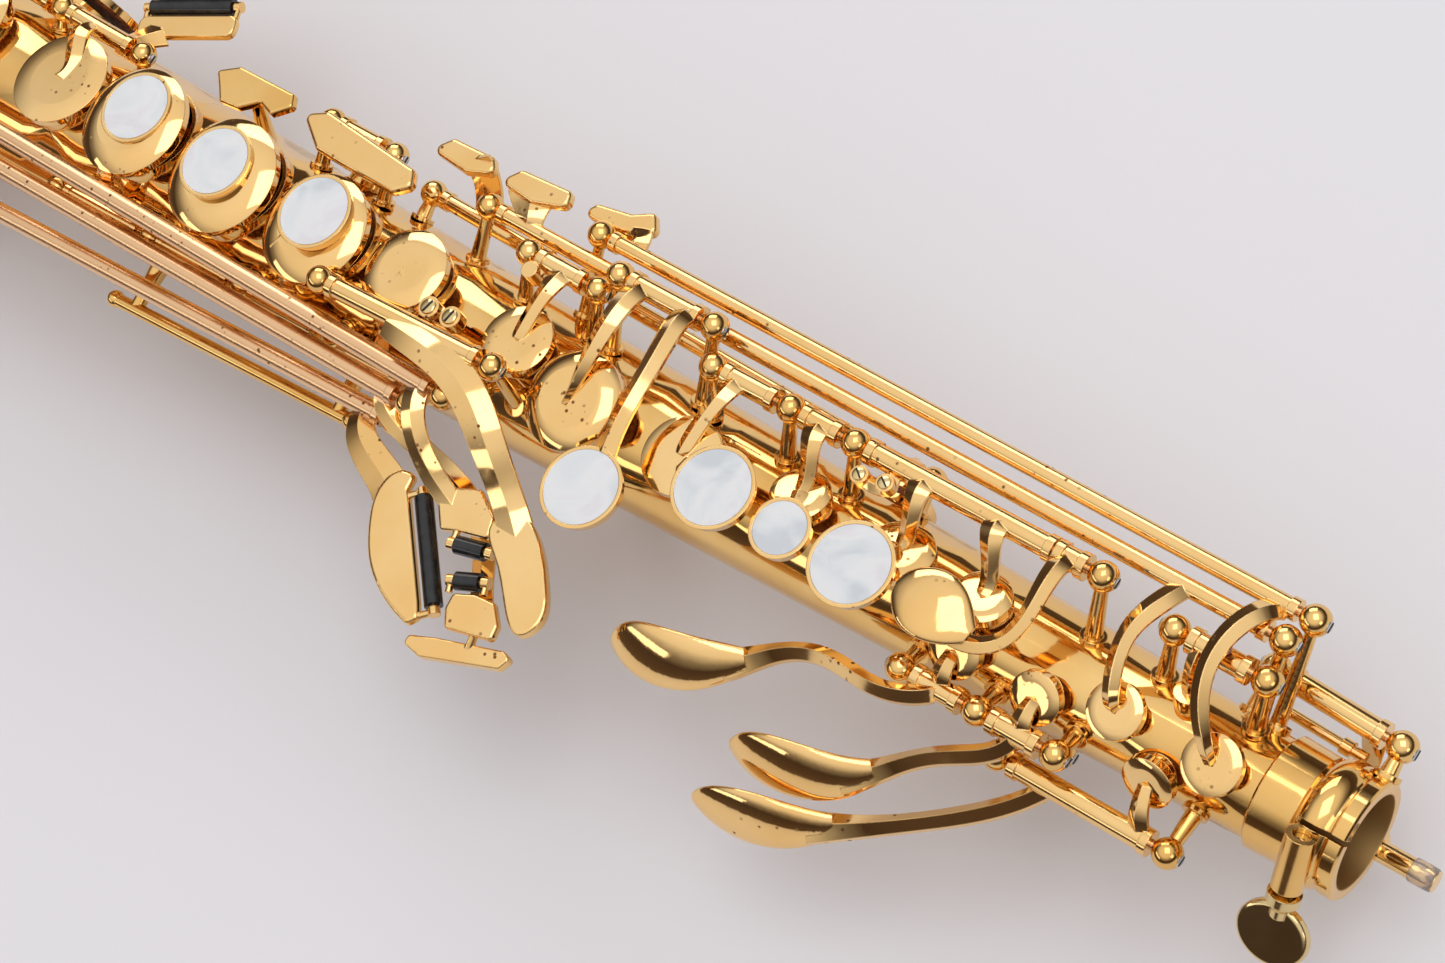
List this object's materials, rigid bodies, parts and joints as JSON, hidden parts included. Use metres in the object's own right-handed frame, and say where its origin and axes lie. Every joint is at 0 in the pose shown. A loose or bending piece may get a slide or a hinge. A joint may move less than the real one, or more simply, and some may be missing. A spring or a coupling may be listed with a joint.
{
  "type": "soprano saxophone body",
  "caption": "Straight soprano saxophone without neck and mouthpiece: conical brass tube, flared bell, full keywork with pads, pearl touches, rollers and neck clamp.",
  "frame": {"origin": "centre of the neck socket's mouth", "axes": "+X out of the socket along the bore; +Z the way the finger pearls face; +Y the player's right"},
  "size_m": [0.5704, 0.1049, 0.092],
  "materials": {
    "lacquered_brass": "polished",
    "key_lacquer": "polished",
    "steel_rod": "polished",
    "blued_steel": "satin",
    "pad_leather": "matte",
    "pearl": "gloss",
    "black_roller": "gloss",
    "red_felt": "matte"
  },
  "bodies": {
    "instrument_body": {"body_tube": "lacquered_brass", "neck_receiver": "lacquered_brass", "bell": "lacquered_brass", "key_posts": "lacquered_brass", "pivot_rods": "steel_rod", "needle_springs": "blued_steel", "key_guards": "lacquered_brass", "guard_felts": "red_felt", "thumb_hook": "lacquered_brass", "thumb_rest": "lacquered_brass", "strap_ring": "lacquered_brass"},
    "octave_thumb_lever": {"octave_thumb_lever": "key_lacquer"},
    "octave_pin_lever": {"octave_pin_lever": "key_lacquer"},
    "octave_vent_key": {"octave_vent_key": "key_lacquer"},
    "palm_d_key": {"palm_d_key": "key_lacquer"},
    "palm_eb_key": {"palm_eb_key": "key_lacquer"},
    "palm_f_key": {"palm_f_key": "key_lacquer"},
    "front_f_key": {"front_f_key": "key_lacquer"},
    "b_key": {"b_key": "key_lacquer", "b_pad": "pad_leather", "b_pearl": "pearl"},
    "bis_key": {"bis_key": "key_lacquer", "bis_pearl": "pearl"},
    "a_key": {"a_key": "key_lacquer", "a_pad": "pad_leather", "a_pearl": "pearl"},
    "g_key": {"g_key": "key_lacquer", "g_pad": "pad_leather", "g_pearl": "pearl"},
    "g_sharp_cup_key": {"g_sharp_cup_key": "key_lacquer"},
    "g_sharp_touch_key": {"g_sharp_touch_key": "key_lacquer"},
    "f_sharp_cup_key": {"f_sharp_cup_key": "key_lacquer", "f_sharp_pad": "pad_leather"},
    "f_key": {"f_key": "key_lacquer", "f_pad": "pad_leather", "f_pearl": "pearl"},
    "e_key": {"e_key": "key_lacquer", "e_pad": "pad_leather", "e_pearl": "pearl"},
    "d_key": {"d_key": "key_lacquer", "d_pad": "pad_leather", "d_pearl": "pearl"},
    "low_eb_key": {"low_eb_key": "key_lacquer"},
    "low_c_key": {"low_c_key": "key_lacquer", "low_c_pad": "pad_leather"},
    "low_c_sharp_key": {"low_c_sharp_key": "key_lacquer"},
    "low_b_key": {"low_b_key": "key_lacquer", "low_b_pad": "pad_leather"},
    "low_b_flat_key": {"low_b_flat_key": "key_lacquer", "low_b_flat_pad": "pad_leather"},
    "high_e_key": {"high_e_key": "key_lacquer"},
    "high_f_sharp_key": {"high_f_sharp_key": "key_lacquer"},
    "side_c_key": {"side_c_key": "key_lacquer"},
    "f_sharp_trill_key": {"f_sharp_trill_key": "key_lacquer"},
    "low_b_flat_roller": {"low_b_flat_roller": "black_roller"},
    "low_b_roller": {"low_b_roller": "black_roller"},
    "low_c_sharp_roller": {"low_c_sharp_roller": "black_roller"},
    "low_eb_roller": {"low_eb_roller": "black_roller"},
    "low_c_roller": {"low_c_roller": "black_roller"},
    "clamp_screw": {"clamp_screw": "lacquered_brass"}
  },
  "joints": [
    {"name": "octave_thumb_lever_hinge", "type": "hinge", "parent": "instrument_body", "child": "octave_thumb_lever", "pos_m": [-0.068, -0.0105, -0.0123], "axis": [0.9995, 0.0214, 0.0214], "range_deg": [0, 8], "stiffness_Nm_per_rad": 0.06, "springref_deg": -14.32},
    {"name": "octave_pin_lever_hinge", "type": "hinge", "parent": "instrument_body", "child": "octave_pin_lever", "pos_m": [-0.0145, 0.01655, 0.004], "axis": [0.9983, -0.0585, 0], "range_deg": [0, 6], "stiffness_Nm_per_rad": 0.06, "springref_deg": -14.32},
    {"name": "octave_vent_key_hinge", "type": "hinge", "parent": "instrument_body", "child": "octave_vent_key", "pos_m": [-0.032, 0.0125, 0.0155], "axis": [0.9999, -0.0091, -0.0091], "range_deg": [-8, 0], "stiffness_Nm_per_rad": 0.06, "springref_deg": 14.32},
    {"name": "palm_d_key_hinge", "type": "hinge", "parent": "instrument_body", "child": "palm_d_key", "pos_m": [-0.065, -0.0144, 0.0087], "axis": [0.9999, 0.0111, -0.0056], "range_deg": [0, 10], "stiffness_Nm_per_rad": 0.06, "springref_deg": -14.32},
    {"name": "palm_eb_key_hinge", "type": "hinge", "parent": "instrument_body", "child": "palm_eb_key", "pos_m": [-0.065, -0.0144, 0.0087], "axis": [0.9999, 0.0111, -0.0056], "range_deg": [0, 10], "stiffness_Nm_per_rad": 0.06, "springref_deg": -14.32},
    {"name": "palm_f_key_hinge", "type": "hinge", "parent": "instrument_body", "child": "palm_f_key", "pos_m": [-0.043, -0.01815, 0.0023], "axis": [1, 0.0079, -0.0053], "range_deg": [0, 10], "stiffness_Nm_per_rad": 0.06, "springref_deg": -14.32},
    {"name": "front_f_key_hinge", "type": "hinge", "parent": "instrument_body", "child": "front_f_key", "pos_m": [-0.0965, 0.014, 0.0195], "axis": [1, 0, -0.0022], "range_deg": [0, 6], "stiffness_Nm_per_rad": 0.06, "springref_deg": -14.32},
    {"name": "b_key_hinge", "type": "hinge", "parent": "instrument_body", "child": "b_key", "pos_m": [-0.0965, 0.014, 0.0195], "axis": [1, 0, -0.0022], "range_deg": [0, 8], "stiffness_Nm_per_rad": 0.06, "springref_deg": -14.32},
    {"name": "bis_key_hinge", "type": "hinge", "parent": "instrument_body", "child": "bis_key", "pos_m": [-0.0965, 0.014, 0.0195], "axis": [1, 0, -0.0022], "range_deg": [0, 8], "stiffness_Nm_per_rad": 0.06, "springref_deg": -14.32},
    {"name": "a_key_hinge", "type": "hinge", "parent": "instrument_body", "child": "a_key", "pos_m": [-0.0965, 0.014, 0.0195], "axis": [1, 0, -0.0022], "range_deg": [0, 8], "stiffness_Nm_per_rad": 0.06, "springref_deg": -14.32},
    {"name": "g_key_hinge", "type": "hinge", "parent": "instrument_body", "child": "g_key", "pos_m": [-0.1535, 0.0203, 0.0215], "axis": [1, -0.0074, 0], "range_deg": [0, 5.6], "stiffness_Nm_per_rad": 0.06, "springref_deg": -14.32},
    {"name": "g_sharp_cup_key_hinge", "type": "hinge", "parent": "instrument_body", "child": "g_sharp_cup_key", "pos_m": [-0.178, 0.0168, 0.0184], "axis": [1, -0.0091, 0], "range_deg": [-8, 0], "stiffness_Nm_per_rad": 0.06, "springref_deg": 14.32},
    {"name": "g_sharp_touch_key_hinge", "type": "hinge", "parent": "instrument_body", "child": "g_sharp_touch_key", "pos_m": [-0.19655, -0.0075, 0.0251], "axis": [0.9993, 0.0376, -0.0042], "range_deg": [0, 8], "stiffness_Nm_per_rad": 0.06, "springref_deg": -14.32},
    {"name": "f_sharp_cup_key_hinge", "type": "hinge", "parent": "instrument_body", "child": "f_sharp_cup_key", "pos_m": [-0.2465, -0.0155, 0.013], "axis": [0.9995, 0.0247, -0.0209], "range_deg": [-8, 0], "stiffness_Nm_per_rad": 0.06, "springref_deg": 14.32},
    {"name": "f_key_hinge", "type": "hinge", "parent": "instrument_body", "child": "f_key", "pos_m": [-0.2465, -0.0155, 0.013], "axis": [0.9995, 0.0247, -0.0209], "range_deg": [-8, 0], "stiffness_Nm_per_rad": 0.06, "springref_deg": 14.32},
    {"name": "e_key_hinge", "type": "hinge", "parent": "instrument_body", "child": "e_key", "pos_m": [-0.2465, -0.0155, 0.013], "axis": [0.9995, 0.0247, -0.0209], "range_deg": [-8, 0], "stiffness_Nm_per_rad": 0.06, "springref_deg": 14.32},
    {"name": "d_key_hinge", "type": "hinge", "parent": "instrument_body", "child": "d_key", "pos_m": [-0.2465, -0.0155, 0.013], "axis": [0.9995, 0.0247, -0.0209], "range_deg": [-8, 0], "stiffness_Nm_per_rad": 0.06, "springref_deg": 14.32},
    {"name": "low_eb_key_hinge", "type": "hinge", "parent": "instrument_body", "child": "low_eb_key", "pos_m": [-0.32275, 0.0162, 0.01805], "axis": [0.9994, -0.0212, -0.0265], "range_deg": [-8, 0], "stiffness_Nm_per_rad": 0.06, "springref_deg": 14.32},
    {"name": "low_c_key_hinge", "type": "hinge", "parent": "instrument_body", "child": "low_c_key", "pos_m": [-0.32275, 0.0162, 0.01805], "axis": [0.9994, -0.0212, -0.0265], "range_deg": [-6.4, 0], "stiffness_Nm_per_rad": 0.06, "springref_deg": 14.32},
    {"name": "low_c_sharp_key_hinge", "type": "hinge", "parent": "instrument_body", "child": "low_c_sharp_key", "pos_m": [-0.2685, -0.0145, 0.0218], "axis": [0.9998, -0.0069, -0.0194], "range_deg": [0, 8], "stiffness_Nm_per_rad": 0.06, "springref_deg": -14.32},
    {"name": "low_b_key_hinge", "type": "hinge", "parent": "instrument_body", "child": "low_b_key", "pos_m": [-0.291, -0.01975, 0.0183], "axis": [0.9997, 0.0084, -0.0228], "range_deg": [0, 4.6], "stiffness_Nm_per_rad": 0.06, "springref_deg": -14.32},
    {"name": "low_b_flat_key_hinge", "type": "hinge", "parent": "instrument_body", "child": "low_b_flat_key", "pos_m": [-0.3125, -0.02695, 0.0092], "axis": [0.9992, 0.0395, -0.0085], "range_deg": [0, 7], "stiffness_Nm_per_rad": 0.06, "springref_deg": -14.32},
    {"name": "high_e_key_hinge", "type": "hinge", "parent": "instrument_body", "child": "high_e_key", "pos_m": [-0.1145, 0.02075, 0.01565], "axis": [0.9999, -0.0127, 0.0039], "range_deg": [-8, 0], "stiffness_Nm_per_rad": 0.06, "springref_deg": 14.32},
    {"name": "high_f_sharp_key_hinge", "type": "hinge", "parent": "instrument_body", "child": "high_f_sharp_key", "pos_m": [-0.0995, 0.02585, 0.016], "axis": [0.9999, -0.013, 0], "range_deg": [-6, 0], "stiffness_Nm_per_rad": 0.06, "springref_deg": 14.32},
    {"name": "side_c_key_hinge", "type": "hinge", "parent": "instrument_body", "child": "side_c_key", "pos_m": [-0.16, 0.0192, 0.0057], "axis": [0.9996, -0.0277, -0.0108], "range_deg": [0, 9], "stiffness_Nm_per_rad": 0.06, "springref_deg": -14.32},
    {"name": "f_sharp_trill_key_hinge", "type": "hinge", "parent": "instrument_body", "child": "f_sharp_trill_key", "pos_m": [-0.239, 0.02245, 0.014], "axis": [0.9999, -0.0136, 0], "range_deg": [0, 9], "stiffness_Nm_per_rad": 0.06, "springref_deg": -14.32},
    {"name": "low_b_flat_roller_spin", "type": "hinge", "parent": "low_b_flat_key", "child": "low_b_flat_roller", "pos_m": [-0.1738, -0.0401, 0.0092], "axis": [0.6936, -0.7203, 0], "continuous": true},
    {"name": "low_b_roller_spin", "type": "hinge", "parent": "low_b_key", "child": "low_b_roller", "pos_m": [-0.1627, -0.041, 0.0092], "axis": [0.9171, 0.3987, 0], "continuous": true},
    {"name": "low_c_sharp_roller_spin", "type": "hinge", "parent": "low_c_sharp_key", "child": "low_c_sharp_roller", "pos_m": [-0.1664, -0.03555, 0.0092], "axis": [0.9701, 0.2425, 0], "continuous": true},
    {"name": "low_eb_roller_spin", "type": "hinge", "parent": "low_eb_key", "child": "low_eb_roller", "pos_m": [-0.29763, 0.03059, 0.0126], "axis": [0.9157, 0.4019, 0], "continuous": true},
    {"name": "low_c_roller_spin", "type": "hinge", "parent": "low_c_key", "child": "low_c_roller", "pos_m": [-0.29956, 0.03499, 0.0126], "axis": [0.9157, 0.4019, 0], "continuous": true},
    {"name": "clamp_screw_turn", "type": "hinge", "parent": "instrument_body", "child": "clamp_screw", "pos_m": [-0.0062, -0.00906, 0.00787], "axis": [0, -0.6561, -0.7547], "continuous": true}
  ],
  "couplings": [
    {"joint": "g_sharp_cup_key_hinge", "follows": "g_sharp_touch_key_hinge", "ratio": -1},
    {"joint": "f_sharp_cup_key_hinge", "follows": "f_key_hinge", "ratio": 1},
    {"joint": "octave_pin_lever_hinge", "follows": "octave_thumb_lever_hinge", "ratio": 0.75}
  ]
}
